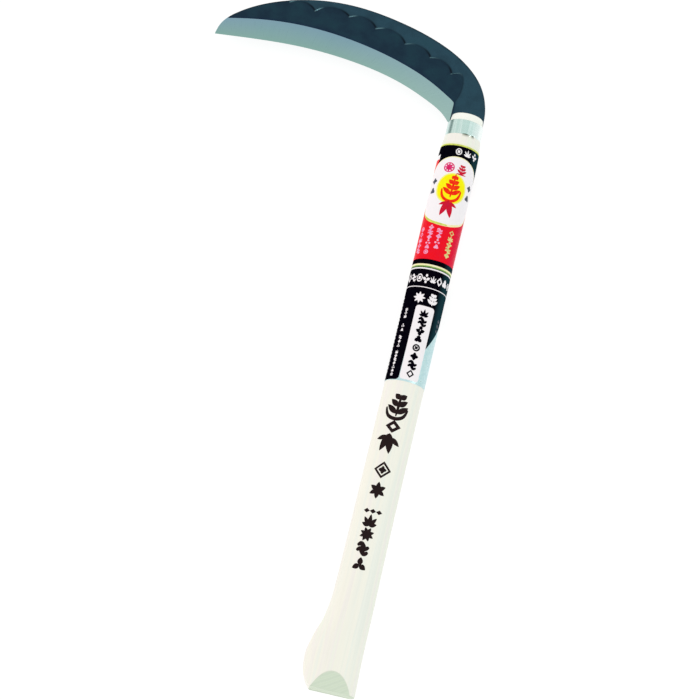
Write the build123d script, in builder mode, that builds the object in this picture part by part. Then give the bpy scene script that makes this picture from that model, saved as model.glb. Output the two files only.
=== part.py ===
"""Hand sickle for grass: a thin forged blade whose tang is pinned in an oval wooden handle.

Millimetres, +Z up. The sickle lies flat: the blade's middle plane is XY, +Y runs along the
handle from its butt to its head, and the blade reaches out toward -X. The origin is the
point where the handle's centre line meets the flat of the butt.
"""
from build123d import *
import os

# ---------------------------------------------------------------- handle
handle_length = 421.5        # about 1.4 shaku, butt to head
head_top = (11.4, 9.3)       # half width and half thickness of the sawn head
seat_half = (12.1, 9.8)      # the same, where the ferrule sits
ferrule_foot = 404.0         # Y of the shoulder that the ferrule is driven down to
head_round = 0.5

# Sections of the grip from butt to shoulder: Y, left edge, right edge, half thickness.
grip_sections = [
    (0.0, -20.8, 15.0, 11.3),
    (20.0, -22.7, 14.5, 11.4),
    (34.0, -20.2, 14.3, 11.4),
    (48.0, -16.0, 14.3, 11.35),
    (64.0, -14.2, 14.2, 11.3),
    (90.0, -13.9, 13.95, 11.25),
    (130.0, -13.75, 13.85, 11.2),
    (180.0, -13.65, 13.8, 11.15),
    (230.0, -13.7, 13.8, 11.15),
    (280.0, -13.9, 13.9, 11.2),
    (320.0, -14.05, 14.05, 11.25),
    (350.0, -14.2, 14.2, 11.35),
    (372.0, -14.25, 14.25, 11.35),
    (388.0, -14.1, 14.1, 11.25),
    (398.0, -13.7, 13.7, 11.0),
    (ferrule_foot, -13.1, 13.1, 10.5),
]
butt_turn = (2.3, 18.0, 25.0)     # the flared side is rounded off about this X, Y, radius
butt_bevel_length = 12.4          # the bevels on both faces of the butt start this far up
butt_bevel_depth = 3.6            # and are this deep at the end
butt_edge_break = 0.4

# ---------------------------------------------------------------- blade
spine_thickness = 2.4
forged_step = 0.35           # the hammered area lies this far below the spine, on each face
edge_thickness = 0.16

# Outline and bevel, in X and in Y above the blade's root line, which crosses the head.
root_line = 420.0
blade_tip = (-192.7, 22.4)
blade_heel = (-13.4, -4.2)
spine_points = [
    blade_tip,
    (-190.6, 31.2),
    (-180.6, 43.6),
    (-158.0, 57.9),
    (-130.0, 67.1),
    (-100.0, 70.0),
    (-64.0, 65.6),
    (-32.0, 56.0),
    (-8.0, 42.2),
    (4.4, 28.4),
    (9.9, 15.6),
    (11.8, 2.0),
]
# Stations along the cutting edge: X, and Y of the edge and of its bevel's upper line.
bevel_stations = [
    (-200.0, 20.8, 33.6),
    (-192.7, 22.4, 35.5),
    (-168.0, 25.2, 41.2),
    (-131.0, 27.8, 44.9),
    (-88.0, 25.3, 41.2),
    (-54.0, 17.9, 32.8),
    (-30.0, 8.0, 22.8),
    (-18.5, 1.0, 16.1),
    (-13.4, -4.2, 13.0),
    (-8.0, -14.0, 10.0),
]
plunge_x = -12.0             # where the ground bevels stop at the neck
plunge_corner = 2.4
beyond = 30.0                # how far cutting shapes run past the steel

# Cusps between the hammer steps, each pointing toward the edge.
wave_cusps = [
    (-147.0, 60.6),
    (-126.5, 58.6),
    (-101.0, 60.4),
    (-80.0, 55.8),
    (-56.6, 48.8),
    (-36.4, 42.8),
    (-18.8, 33.6),
]
wave_height = 0.21           # rise of a step over the line between its cusps, per length
wave_end = [(-12.4, 35.6), (-8.8, 27.0), (plunge_x, 11.0)]

neck_half = 11.5             # the neck fills the head of the handle
tang_half = 7.0
tang_end_half = 5.0
tang_end = 338.0             # Y of the tang's lower end
tang_shoulder = 408.0        # Y where the neck narrows to the tang
tang_corner = 2.0

# ---------------------------------------------------------------- ferrule, pins, labels
ferrule_height = 11.5
ferrule_wall = 0.8
ferrule_lip_round = 0.35
ferrule_seam = (0.4, 0.3)    # width and depth of the brazed seam, at the back
stake_marks = [(1.2, 2.6), (6.4, 1.3)]    # punch marks at the foot: X and half width
stake_depth = 0.9

pin_diameter = 3.0
pin_length = 21.8
pin_rows = {"tang_pin_upper": 388.0, "tang_pin_lower": 354.0}

label_thickness = 0.2
label_seam = (4.0, 0.3)      # X and width of the gap between a label's ends, at the back
label_meeting = 297.5        # Y where the two labels meet
label_gap = 0.2
label_spans = {
    "label_upper": (label_meeting + label_gap / 2, 395.0),
    "label_lower": (213.2, label_meeting - label_gap / 2),
}

pieces = {}
half_spine = spine_thickness / 2
half_forged = half_spine - forged_step
half_edge = edge_thickness / 2
root_plane = Plane(origin=(0, root_line, 0))


def across(y):
    """The plane across the handle at y, with its normal toward the head."""
    return Plane(origin=(0, y, 0), x_dir=(1, 0, 0), z_dir=(0, 1, 0))


def oval_grip(grow):
    """The grip's oval body, grown by a skin of the given thickness."""
    with BuildPart() as grip:
        for y, left, right, half_thickness in grip_sections:
            with BuildSketch(across(y)):
                with Locations(((left + right) / 2, 0)):
                    Ellipse((right - left) / 2 + grow, half_thickness + grow)
        loft()
    return grip.part


# ---- Handle: oval grip, flared and bevelled butt, and a stepped head with a saw kerf ----
grip_core = oval_grip(0)

with BuildPart() as handle:
    add(grip_core)
    # The flared side of the butt turns in to the end on one large radius.
    turn_x, turn_y, turn_radius = butt_turn
    with BuildSketch(Plane.XY):
        with Locations((turn_x - turn_radius, turn_y - turn_radius)):
            Rectangle(2 * turn_radius, 2 * turn_radius, align=(Align.CENTER, Align.CENTER))
        with Locations((turn_x, turn_y)):
            Circle(turn_radius, mode=Mode.SUBTRACT)
        with Locations((turn_x, turn_y - turn_radius)):
            Rectangle(2 * turn_radius, 2 * turn_radius, align=(Align.MIN, Align.CENTER), mode=Mode.SUBTRACT)
        with Locations((turn_x, turn_y)):
            Rectangle(4 * turn_radius, turn_radius, align=(Align.CENTER, Align.MIN), mode=Mode.SUBTRACT)
    extrude(amount=beyond, both=True, mode=Mode.SUBTRACT)
    # Both faces of the butt are pared back to the end.
    face_height = grip_sections[0][3]
    slope = butt_bevel_depth / butt_bevel_length
    with BuildSketch(Plane.YZ):
        with BuildLine():
            Polyline(
                (-beyond, face_height - butt_bevel_depth - slope * beyond),
                (butt_bevel_length, face_height),
                (butt_bevel_length, beyond),
                (-beyond, beyond),
                close=True,
            )
        make_face()
        mirror(about=Plane.XZ)
    extrude(amount=2 * beyond, both=True, mode=Mode.SUBTRACT)
    chamfer(handle.faces().sort_by(Axis.Y)[0].edges(), butt_edge_break)
    # The head: a seat for the ferrule, then a short taper to the sawn end.
    with BuildSketch(across(ferrule_foot)):
        Ellipse(*seat_half)
    extrude(amount=ferrule_height)
    with BuildSketch(across(ferrule_foot + ferrule_height)):
        Ellipse(*seat_half)
    with BuildSketch(across(handle_length)):
        Ellipse(*head_top)
    loft()
    fillet(handle.faces().sort_by(Axis.Y)[-1].edges(), head_round)
    # The saw kerf that takes the tang, and the holes for its pins.
    with BuildSketch(Plane.YZ):
        with Locations((tang_end, 0)):
            Rectangle(handle_length, spine_thickness, align=(Align.MIN, Align.CENTER))
    extrude(amount=2 * beyond, both=True, mode=Mode.SUBTRACT)
    with BuildSketch(Plane.XY):
        with Locations(*[(0, y) for y in pin_rows.values()]):
            Circle(pin_diameter / 2)
    extrude(amount=beyond, both=True, mode=Mode.SUBTRACT)
handle.part.label = "handle"
pieces["handle"] = handle.part

# ---- Blade: one forging of blade, neck and tang ----
tang_y = tang_end - root_line
shoulder_y = tang_shoulder - root_line
edge_points = [(x, edge_y) for x, edge_y, bevel_y in bevel_stations if blade_tip[0] <= x <= blade_heel[0]]
bevel_points = [(x, bevel_y) for x, edge_y, bevel_y in bevel_stations]

with BuildPart() as bevel_cut:
    for x, edge_y, bevel_y in bevel_stations:
        fall = (half_forged - half_edge) / (bevel_y - edge_y)
        past = 4.0
        with BuildSketch(Plane(origin=(x, root_line, 0), x_dir=(0, 1, 0), z_dir=(1, 0, 0))):
            with BuildLine():
                Polyline(
                    (bevel_y, half_forged),
                    (edge_y - past, half_edge - fall * past),
                    (edge_y - past, 2 * spine_thickness),
                    (bevel_y, 2 * spine_thickness),
                    close=True,
                )
            make_face()
    loft()
    with BuildSketch(root_plane) as ground_zone:
        with BuildLine():
            top = Spline(*bevel_points)
            Polyline(top @ 1, (top @ 1 + Vector(0, -4 * beyond)), (bevel_points[0][0], -4 * beyond), top @ 0)
        make_face()
        with Locations((plunge_x, 0)):
            Rectangle(beyond, 8 * beyond, align=(Align.MIN, Align.CENTER), mode=Mode.SUBTRACT)
        corner = ground_zone.vertices().group_by(Axis.X)[-1].sort_by(Axis.Y)[-1]
        fillet(corner, plunge_corner)
    extrude(amount=spine_thickness, both=True, mode=Mode.INTERSECT)

with BuildPart() as blade:
    with BuildSketch(root_plane) as outline:
        with BuildLine():
            Spline(*spine_points, tangents=[(0.15, 1.0), (0.0, -1.0)], tangent_scalars=[1.0, 1.0])
            Polyline(
                spine_points[-1],
                (neck_half, blade_heel[1]),
                (neck_half, shoulder_y),
                (tang_half, shoulder_y),
                (tang_end_half, tang_y),
                (-tang_end_half, tang_y),
                (-tang_half, shoulder_y),
                (-neck_half, shoulder_y),
                (-neck_half, blade_heel[1]),
                blade_heel,
            )
            Spline(*reversed(edge_points))
        make_face()
        shoulders = outline.vertices().filter_by_position(Axis.Y, tang_y - 1, shoulder_y + 1)
        fillet(shoulders, tang_corner)
    extrude(amount=half_spine, both=True)
    # The hammered area below the spine, with its row of steps.
    with BuildSketch(root_plane.offset(half_forged)) as forged_area:
        with BuildLine():
            for start, end in zip(wave_cusps[:-1], wave_cusps[1:]):
                chord = Vector(*end) - Vector(*start)
                crown = Vector(*start) + chord / 2 + Vector(-chord.Y, chord.X) * wave_height
                ThreePointArc(start, crown, end)
            Spline(wave_cusps[-1], *wave_end)
            Polyline(
                wave_end[-1],
                (plunge_x, -beyond),
                (blade_tip[0] - beyond, -beyond),
                (blade_tip[0] - beyond, 3 * beyond),
                (wave_cusps[0][0], 3 * beyond),
                wave_cusps[0],
            )
        make_face()
    forged_cut = extrude(amount=spine_thickness, mode=Mode.PRIVATE)
    add(forged_cut, mode=Mode.SUBTRACT)
    mirror(forged_cut, about=Plane.XY, mode=Mode.SUBTRACT)
    add(bevel_cut.part, mode=Mode.SUBTRACT)
    mirror(bevel_cut.part, about=Plane.XY, mode=Mode.SUBTRACT)
    with BuildSketch(Plane.XY):
        with Locations(*[(0, y) for y in pin_rows.values()]):
            Circle(pin_diameter / 2)
    extrude(amount=beyond, both=True, mode=Mode.SUBTRACT)
blade.part.label = "blade"
pieces["blade"] = blade.part

# ---- Ferrule: an oval steel ring, staked at its foot ----
with BuildPart() as ferrule:
    with BuildSketch(across(ferrule_foot)):
        Ellipse(seat_half[0] + ferrule_wall, seat_half[1] + ferrule_wall)
    extrude(amount=ferrule_height)
    fillet(ferrule.edges(), ferrule_lip_round)
    with BuildSketch(across(ferrule_foot)):
        Ellipse(*seat_half)
    extrude(amount=ferrule_height, mode=Mode.SUBTRACT)
    seam_width, seam_depth = ferrule_seam
    with BuildSketch(across(ferrule_foot)):
        with Locations((0, seat_half[1] + ferrule_wall - seam_depth)):
            Rectangle(seam_width, ferrule_wall, align=(Align.CENTER, Align.MIN))
    extrude(amount=ferrule_height, mode=Mode.SUBTRACT)
    with BuildSketch(Plane.XY.offset(seat_half[1] - 2.0)):
        for x, half_width in stake_marks:
            with Locations((x, ferrule_foot)):
                Ellipse(half_width, stake_depth)
    extrude(amount=beyond, mode=Mode.SUBTRACT)
ferrule.part.label = "ferrule"
pieces["ferrule"] = ferrule.part

# ---- Pins: two cut nails through handle and tang, sunk just below the wood ----
for name, y in pin_rows.items():
    with BuildPart() as pin:
        with BuildSketch(Plane.XY.offset(-pin_length / 2)):
            with Locations((0, y)):
                Circle(pin_diameter / 2)
        extrude(amount=pin_length)
    pin.part.label = name
    pieces[name] = pin.part

# ---- Labels: thin printed wraps round the grip, their ends meeting at the back ----
grip_skin = oval_grip(label_thickness)
seam_x, seam_gap = label_seam
for name, (low, high) in label_spans.items():
    with BuildPart() as label:
        with BuildSketch(across(low)):
            Rectangle(4 * beyond, 4 * beyond)
        extrude(amount=high - low)
        add(grip_skin, mode=Mode.INTERSECT)
        add(grip_core, mode=Mode.SUBTRACT)
        with BuildSketch(Plane.XY.offset(-beyond)):
            with Locations((seam_x, (low + high) / 2)):
                Rectangle(seam_gap, 2 * (high - low))
        extrude(amount=beyond, mode=Mode.SUBTRACT)
    label.part.label = name
    pieces[name] = label.part

os.makedirs("parts", exist_ok=True)
for name, piece in pieces.items():
    export_step(piece, f"parts/{name}.step")
    box = piece.bounding_box()
    print(f"{name}: {piece.volume:.0f} mm3, {box.size.X:.1f} x {box.size.Y:.1f} x {box.size.Z:.1f} mm")
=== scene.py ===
"""Looks of a hand sickle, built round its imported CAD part.

Metres in Blender; the shapes below are worked out in millimetres, in the CAD part's own frame.
The sickle lies flat: +Z is its labelled face, +Y runs from the butt to the head, and the blade
reaches toward -X. Nothing on it moves, so every piece rides on the one body, root.
"""
import math

import bpy
import numpy as np
from mathutils import Matrix, Vector, noise
from mathutils.geometry import delaunay_2d_cdt

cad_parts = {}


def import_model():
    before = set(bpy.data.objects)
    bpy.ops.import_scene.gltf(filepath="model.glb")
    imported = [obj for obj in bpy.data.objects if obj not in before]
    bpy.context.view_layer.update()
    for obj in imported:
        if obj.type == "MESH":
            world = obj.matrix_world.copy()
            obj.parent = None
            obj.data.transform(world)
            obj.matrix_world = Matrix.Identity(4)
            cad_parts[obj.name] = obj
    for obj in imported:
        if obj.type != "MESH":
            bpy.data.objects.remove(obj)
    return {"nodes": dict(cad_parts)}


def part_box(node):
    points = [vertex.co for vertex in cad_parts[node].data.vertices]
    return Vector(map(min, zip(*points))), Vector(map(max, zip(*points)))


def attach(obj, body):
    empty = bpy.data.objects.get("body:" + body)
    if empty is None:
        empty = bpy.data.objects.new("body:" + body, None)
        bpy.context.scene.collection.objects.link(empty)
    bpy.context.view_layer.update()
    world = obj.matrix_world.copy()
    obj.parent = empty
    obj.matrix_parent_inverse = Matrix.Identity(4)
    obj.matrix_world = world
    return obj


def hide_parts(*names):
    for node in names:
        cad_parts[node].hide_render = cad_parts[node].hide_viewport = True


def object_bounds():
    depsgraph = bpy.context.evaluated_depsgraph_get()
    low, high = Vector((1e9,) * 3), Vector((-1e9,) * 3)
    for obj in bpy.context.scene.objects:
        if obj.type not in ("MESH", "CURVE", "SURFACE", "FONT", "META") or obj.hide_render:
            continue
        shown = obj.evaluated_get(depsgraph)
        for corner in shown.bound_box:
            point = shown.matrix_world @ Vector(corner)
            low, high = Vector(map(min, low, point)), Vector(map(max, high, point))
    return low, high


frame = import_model()
cad_low, cad_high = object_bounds()

MM = 0.001


# ------------------------------------------------------------------ sizes, in millimetres
def box_mm(node):
    """Lowest and highest corner of a CAD node, in millimetres."""
    low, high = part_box(node)
    return low / MM, high / MM


blade_low, blade_high = box_mm("blade")
ferrule_low, ferrule_high = box_mm("ferrule")
handle_length = box_mm("handle")[1].y
label_spans = {name: [corner.y for corner in box_mm(name)] for name in ("label_upper", "label_lower")}
pins = ("tang_pin_upper", "tang_pin_lower")
pin_rows = [sum(corner.y for corner in box_mm(pin)) / 2 for pin in pins]

# Sections of the grip, which are ovals: Y, left edge, right edge, half thickness.
grip_sections = np.array([
    (0.0, -20.8, 15.0, 11.3),
    (20.0, -22.7, 14.5, 11.4),
    (34.0, -20.2, 14.3, 11.4),
    (48.0, -16.0, 14.3, 11.35),
    (64.0, -14.2, 14.2, 11.3),
    (90.0, -13.9, 13.95, 11.25),
    (130.0, -13.75, 13.85, 11.2),
    (180.0, -13.65, 13.8, 11.15),
    (230.0, -13.7, 13.8, 11.15),
    (280.0, -13.9, 13.9, 11.2),
    (320.0, -14.05, 14.05, 11.25),
    (350.0, -14.2, 14.2, 11.35),
    (372.0, -14.25, 14.25, 11.35),
    (388.0, -14.1, 14.1, 11.25),
    (398.0, -13.7, 13.7, 11.0),
    (404.0, -13.1, 13.1, 10.5),
])
ferrule_foot, ferrule_top = ferrule_low.y, ferrule_high.y
ferrule_wall = 0.8
seat = (ferrule_high.x - ferrule_wall, ferrule_high.z - ferrule_wall)   # half width, half thickness
head_top = (11.4, 9.3)              # the same at the top of the head
head_round = 0.5
butt_turn = (2.3, 18.0, 25.0)       # X, Y and radius of the flared side's turn to the end
butt_bevel = (11.6, 3.5)            # length and depth of the pared faces
butt_tilt = 0.07                    # they are pared a little deeper toward +X
butt_edge_break = 0.4
soft_edge = 0.45                    # how far a pared edge is eased
stake_marks = [(1.2, 2.6), (6.4, 1.3)]   # notches in the ferrule's foot: X and half width
stake_depth = 0.6
ferrule_lip = 0.35                  # radius of its rolled lips
seam_half, seam_depth = 0.2, 0.3    # of the brazed seam at its back

root_line = 420.0                   # the blade's points are X and Y above this line
half_spine = blade_high.z           # half thickness of the raised band along the spine
half_forged = half_spine - 0.35     # of the hammered area
half_edge = 0.08                    # of the cutting edge
hammer_marks, hammer_scale = 0.045, 0.16   # depth and cells per millimetre of the faint marks
spine_ease = 0.5                    # how far the spine's corners are rounded over
bevel_lip = 0.3                     # width of the last faces below the bevel's upper line
step_width, step_reach = 1.2, 1.0   # of the slope to the hammered area, and of its foot and brow
seam_fade, edge_shade_width = 2.5, 0.9     # how far the dark tint above the bevel and the painted shade on the spine's eased edge reach
shade_width, highlight_width = 0.8, 0.5    # of the painted shade in the step's crease and of the painted highlight line on the step
row_pitch = 0.9                     # most that two rows of the blade's net lie apart
neck_rows = 0.86                    # rows past this fraction of the blade are on the neck
blade_tip = (-192.7, 22.4)
blade_heel = (-13.4, -4.2)
spine_points = [
    blade_tip,
    (-190.6, 31.2),
    (-180.6, 43.6),
    (-158.0, 57.9),
    (-130.0, 67.1),
    (-100.0, 70.0),
    (-64.0, 65.6),
    (-32.0, 56.0),
    (-8.0, 42.2),
    (4.4, 28.4),
    (9.9, 15.6),
    (11.8, 2.0),
]
neck_half, neck_swell = 11.5, 11.9  # half width of the neck's foot, and its right edge above that
bevel_stations = np.array([          # X, and Y of the cutting edge and of the bevel's upper line
    (-200.0, 20.8, 33.6),
    (-192.7, 22.4, 35.5),
    (-168.0, 25.2, 41.2),
    (-131.0, 27.8, 44.9),
    (-88.0, 25.3, 41.2),
    (-54.0, 17.9, 32.8),
    (-30.0, 8.0, 22.8),
    (-18.5, 1.0, 16.1),
    (-13.4, -4.2, 13.0),
    (-8.0, -14.0, 10.0),
])
plunge_x, plunge_corner = -12.0, 2.4   # where the bevel ends at the neck, and its corner's radius
wave_cusps = [                      # of the hammered area's edge
    (-147.0, 60.6),
    (-126.5, 58.6),
    (-101.0, 60.4),
    (-80.0, 55.8),
    (-56.6, 48.8),
    (-36.4, 42.8),
    (-18.8, 33.6),
]
wave_height = 0.21                  # of each arc, as a part of its chord
wave_end = [(-12.4, 35.6), (-8.8, 27.0), (plunge_x, 11.0)]   # from the last cusp to the plunge
tang_half, tang_end_half = 7.0, 5.0    # half widths
tang_end, tang_shoulder = blade_low.y, 408.0
pin_radius = 1.5
clear = 40.0                        # how far the cutters reach past the wood

wrap_radius = 14.0                  # places on the grip are this times the angle from the front
label_half_width = 14.1             # of the grip under the labels
label_seam_x = 4.0                  # X of a label's ends, at the back
label_seam_gap = 0.2                # from each end to the seam's middle
film_lift, film_gap = 0.11, 0.01    # outer and inner face of a label's film over the wood
ink_lift = 0.02 / 1.5               # each layer of print stands this much higher
ink_depth = 0.03
burn_lift, burn_depth = 0.02, 0.1   # outer face of the burnt marks over the wood, and their depth


# ------------------------------------------------------------------ curves
def hermite(t, p0, m0, p1, m1):
    """The cubic from p0 to p1 with slopes m0 and m1, at t from 0 to 1."""
    first = (1 + 2 * t) * (1 - t) ** 2 * p0 + t * (1 - t) ** 2 * m0
    return first + t * t * (3 - 2 * t) * p1 + t * t * (t - 1) * m1


def spline(points, start=None, end=None, steps=24):
    """Points along the smooth curve through the given ones, with the given end directions."""
    p = np.array(points, float)
    h = np.linalg.norm(np.diff(p, axis=0), axis=1)
    slope = np.diff(p, axis=0) / h[:, None]
    count = len(p)
    a = np.zeros((count, count))
    b = np.zeros_like(p)
    for i in range(1, count - 1):
        a[i, i - 1 : i + 2] = h[i], 2 * (h[i - 1] + h[i]), h[i - 1]
        b[i] = 3 * (h[i] * slope[i - 1] + h[i - 1] * slope[i])
    for i, j, given in ((0, 1, start), (count - 1, count - 2, end)):
        a[i, i] = 1 if given else 2
        a[i, j] = 0 if given else 1
        b[i] = given or 3 * slope[min(i, j)]
    m = np.linalg.solve(a, b)
    t = np.linspace(0, 1, steps, endpoint=False)[:, None]
    spans = [hermite(t, p[i], m[i] * h[i], p[i + 1], m[i + 1] * h[i]) for i in range(count - 1)]
    return np.concatenate([*spans, p[-1:]])


def between(xs, ys, x):
    """Values at x of the smooth curve through the given ones that never passes beyond them."""
    h = np.diff(xs)
    d = np.diff(ys) / h
    m = np.zeros(len(xs))
    same = d[:-1] * d[1:] > 0
    m[1:-1][same] = 2 / (1 / d[:-1][same] + 1 / d[1:][same])
    i = np.clip(np.searchsorted(xs, x) - 1, 0, len(h) - 1)
    t = (x - xs[i]) / h[i]
    return hermite(t, ys[i], m[i] * h[i], ys[i + 1], m[i + 1] * h[i])


def smoothstep(x):
    """0 below 0, 1 above 1, and an even rise between."""
    x = np.clip(x, 0, 1)
    return x * x * (3 - 2 * x)


def soft_min(a, b, ease):
    """The smaller of two values, eased where they cross."""
    return np.minimum(a, b) - ease / 4 * np.clip(1 - np.abs(a - b) / ease, 0, None) ** 2


def lengths(line):
    """Distance along a line to each of its points."""
    return np.concatenate([[0], np.cumsum(np.linalg.norm(np.diff(line, axis=0), axis=1))])


def along(line, fraction):
    """The points at these fractions of a line's length."""
    d = lengths(line)
    return np.stack([np.interp(np.asarray(fraction) * d[-1], d, line[:, k]) for k in range(2)], 1)


def side_of(a, b, points):
    """Which side of the line through a and b the points are, as a signed area."""
    return (b[0] - a[0]) * (points[:, 1] - a[1]) - (b[1] - a[1]) * (points[:, 0] - a[0])


def crossing(a, b, line):
    """How far from a to b the line is first crossed, as a fraction, or 1 if it isn't."""
    side = side_of(a, b, line)
    hit = np.nonzero((side[:-1] * side[1:] <= 0) & (side[:-1] != side[1:]))[0]
    w = (side[hit] / (side[hit] - side[hit + 1]))[:, None]
    t = (line[hit] + w * (line[hit + 1] - line[hit]) - a) @ (b - a) / ((b - a) @ (b - a))
    t = t[(t > 0.004) & (t < 1)]
    return t.min() if len(t) else 1.0


# ------------------------------------------------------------------ meshes
def add_object(name, data):
    made = bpy.data.objects.new(name, data)
    bpy.context.scene.collection.objects.link(made)
    return made


def build(name, verts, faces, materials, indices=None, attributes=None, sharp=35):
    """An object from vertices in millimetres. Edges sharper than sharp degrees stay crisp."""
    mesh = bpy.data.meshes.new(name)
    mesh.from_pydata([tuple(v) for v in np.asarray(verts, float) * MM], [], [tuple(f) for f in faces])
    for m in materials:
        mesh.materials.append(m)
    if indices is not None:
        mesh.polygons.foreach_set("material_index", np.asarray(indices, np.int32))
    for key, values in (attributes or {}).items():
        mesh.attributes.new(key, "FLOAT", "POINT").data.foreach_set("value", np.asarray(values, np.float32))
    mesh.validate()
    mesh.polygons.foreach_set("use_smooth", np.ones(len(mesh.polygons), bool))
    mesh.set_sharp_from_angle(angle=math.radians(sharp))
    mesh.update()
    return add_object(name, mesh)


def border(faces):
    """The edges that only one face has, in that face's direction."""
    seen = {}
    for f in faces:
        for a, b in zip(f, (*f[1:], f[0])):
            seen[(a, b)] = True
    return [(a, b) for a, b in seen if (b, a) not in seen]


def winding(points, loops):
    """How often the loops go round each point. A loop that runs clockwise takes away."""
    total = np.zeros(len(points), int)
    for loop in loops:
        for a, b in zip(loop, np.roll(loop, -1, axis=0)):
            left = side_of(a, b, points)
            total += (a[1] <= points[:, 1]) & (b[1] > points[:, 1]) & (left > 0)
            total -= (a[1] > points[:, 1]) & (b[1] <= points[:, 1]) & (left < 0)
    return total


def multiples(step, low, high):
    return [k * step for k in range(math.ceil(low / step), math.floor(high / step) + 1)]


def compact(faces):
    """The points that the faces use, and the faces with the points renumbered to match."""
    used = sorted({k for f in faces for k in f})
    place_of = {k: i for i, k in enumerate(used)}
    return used, [tuple(place_of[k] for k in f) for f in faces]


def fill(loops, strip=0.8, course=10.0):
    """Flat triangles that fill closed loops, cut at every multiple of strip and course."""
    points, edges = [], []
    for loop in loops:
        start = len(points)
        points += [tuple(p) for p in loop]
        edges += [(start + k, start + (k + 1) % len(loop)) for k in range(len(loop))]
    low, high = np.min(points, 0), np.max(points, 0)
    cuts = []
    if strip:
        cuts = [((x, low[1] - 1), (x, high[1] + 1)) for x in multiples(strip, low[0], high[0])]
        cuts += [((low[0] - 1, y), (high[0] + 1, y)) for y in multiples(course, low[1], high[1])]
    for cut in cuts:
        edges.append((len(points), len(points) + 1))
        points += cut
    verts, _, faces = delaunay_2d_cdt([Vector(p) for p in points], edges, [], 0, 1e-5)[:3]
    verts = np.array([tuple(v) for v in verts])
    centres = np.array([verts[list(f)].mean(0) for f in faces])
    kept = [f for f, n in zip(faces, winding(centres, loops)) if n > 0]
    used, kept = compact(kept)
    return verts[used], kept


def shell(verts, faces, top, bottom):
    """A closed thin solid between two faces of the same flat net. top and bottom place its points."""
    n = len(verts)
    solid = [*faces, *(tuple(k + n for k in reversed(f)) for f in faces)]
    solid += [(b, a, a + n, b + n) for a, b in border(faces)]
    return np.concatenate([top(verts), bottom(verts)]), solid


def finish_piece(piece, slot, *nodes):
    """Rides the piece on the one body and hides the CAD nodes that it stands for. slot is not used."""
    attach(piece, "root")
    if nodes:
        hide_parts(*nodes)
    return piece


# ------------------------------------------------------------------ materials
def node(tree, kind, inputs=None, **settings):
    made = tree.nodes.new("ShaderNode" + kind)
    for key, value in settings.items():
        setattr(made, key, value)
    for key, value in (inputs or {}).items():
        if isinstance(value, bpy.types.NodeSocket):
            tree.links.new(value, made.inputs[key])
        else:
            made.inputs[key].default_value = value
    return made


def place(tree, stretch=(1, 1, 1)):
    """Object coordinates in millimetres, scaled by stretch."""
    coords = node(tree, "TexCoord").outputs["Object"]
    return node(tree, "Mapping", {"Vector": coords, "Scale": [k / MM for k in stretch]}).outputs[0]


def axis(tree, letter):
    """One object coordinate, in millimetres."""
    return node(tree, "SeparateXYZ", {"Vector": place(tree)}).outputs[letter]


def cloud(tree, scale, detail=3.0, rough=0.55, stretch=(1, 1, 1)):
    """Soft noise from 0 to 1. scale is in cells per millimetre."""
    inputs = {"Vector": place(tree, stretch), "Scale": scale, "Detail": detail, "Roughness": rough}
    return node(tree, "TexNoise", inputs).outputs[0]


def ramp(tree, factor, *stops):
    made = node(tree, "ValToRGB", {"Fac": factor})
    band = made.color_ramp
    while len(band.elements) < len(stops):
        band.elements.new(0.5)
    for element, (position, colour) in zip(band.elements, stops):
        element.position = position
        element.color = (*colour, 1) if len(colour) == 3 else colour
    return made.outputs["Color"]


def grey_ramp(tree, factor, *stops):
    return ramp(tree, factor, *((p, (v, v, v)) for p, v in stops))


def shades(tree, factor, dark, light):
    """Grey that goes from dark to light over the middle of soft noise."""
    return grey_ramp(tree, factor, (0.3, dark), (0.7, light))


def mixed(tree, factor, a, b, blend="MIX"):
    made = tree.nodes.new("ShaderNodeMix")
    made.data_type = "RGBA"
    made.blend_type = blend
    for k, value in ((0, factor), (6, a), (7, b)):
        if isinstance(value, bpy.types.NodeSocket):
            tree.links.new(value, made.inputs[k])
        else:
            made.inputs[k].default_value = value if k == 0 else (*value, 1)
    return made.outputs[2]


def times(tree, colour, tone):
    return mixed(tree, 1.0, colour, tone, "MULTIPLY")


def maths(tree, operation, *values, clamp=False):
    return node(tree, "Math", dict(enumerate(values)), operation=operation, use_clamp=clamp).outputs[0]


def product(tree, a, b):
    return maths(tree, "MULTIPLY", a, b)


def attribute(tree, name):
    return node(tree, "Attribute", attribute_name=name).outputs["Fac"]


def bump(tree, height, depth, strength=1.0, below=None):
    """A normal from a height that is depth millimetres from 0 to 1."""
    inputs = {"Height": height, "Distance": depth * MM, "Strength": strength}
    if below:
        inputs["Normal"] = below
    return node(tree, "Bump", inputs).outputs[0]


def surface(made, colour, roughness, normal=None, **sockets):
    """Finishes a material on its Principled shader. sockets are plain values by socket name."""
    shader = made.node_tree.nodes["Principled BSDF"]
    for key, value in (("Base Color", colour), ("Roughness", roughness), ("Normal", normal)):
        if isinstance(value, bpy.types.NodeSocket):
            made.node_tree.links.new(value, shader.inputs[key])
        elif value is not None:
            shader.inputs[key].default_value = value
    for key, value in sockets.items():
        shader.inputs[key.replace("_", " ")].default_value = value
    return made


def start_material(name):
    made = bpy.data.materials.new(name)
    made.use_nodes = True
    return made, made.node_tree


def srgb(*levels):
    """A colour in 0 to 255 as shown on a screen, as linear values."""
    return tuple(((v / 255 + 0.055) / 1.055) ** 2.4 if v > 10 else v / 255 / 12.92 for v in levels)


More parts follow.
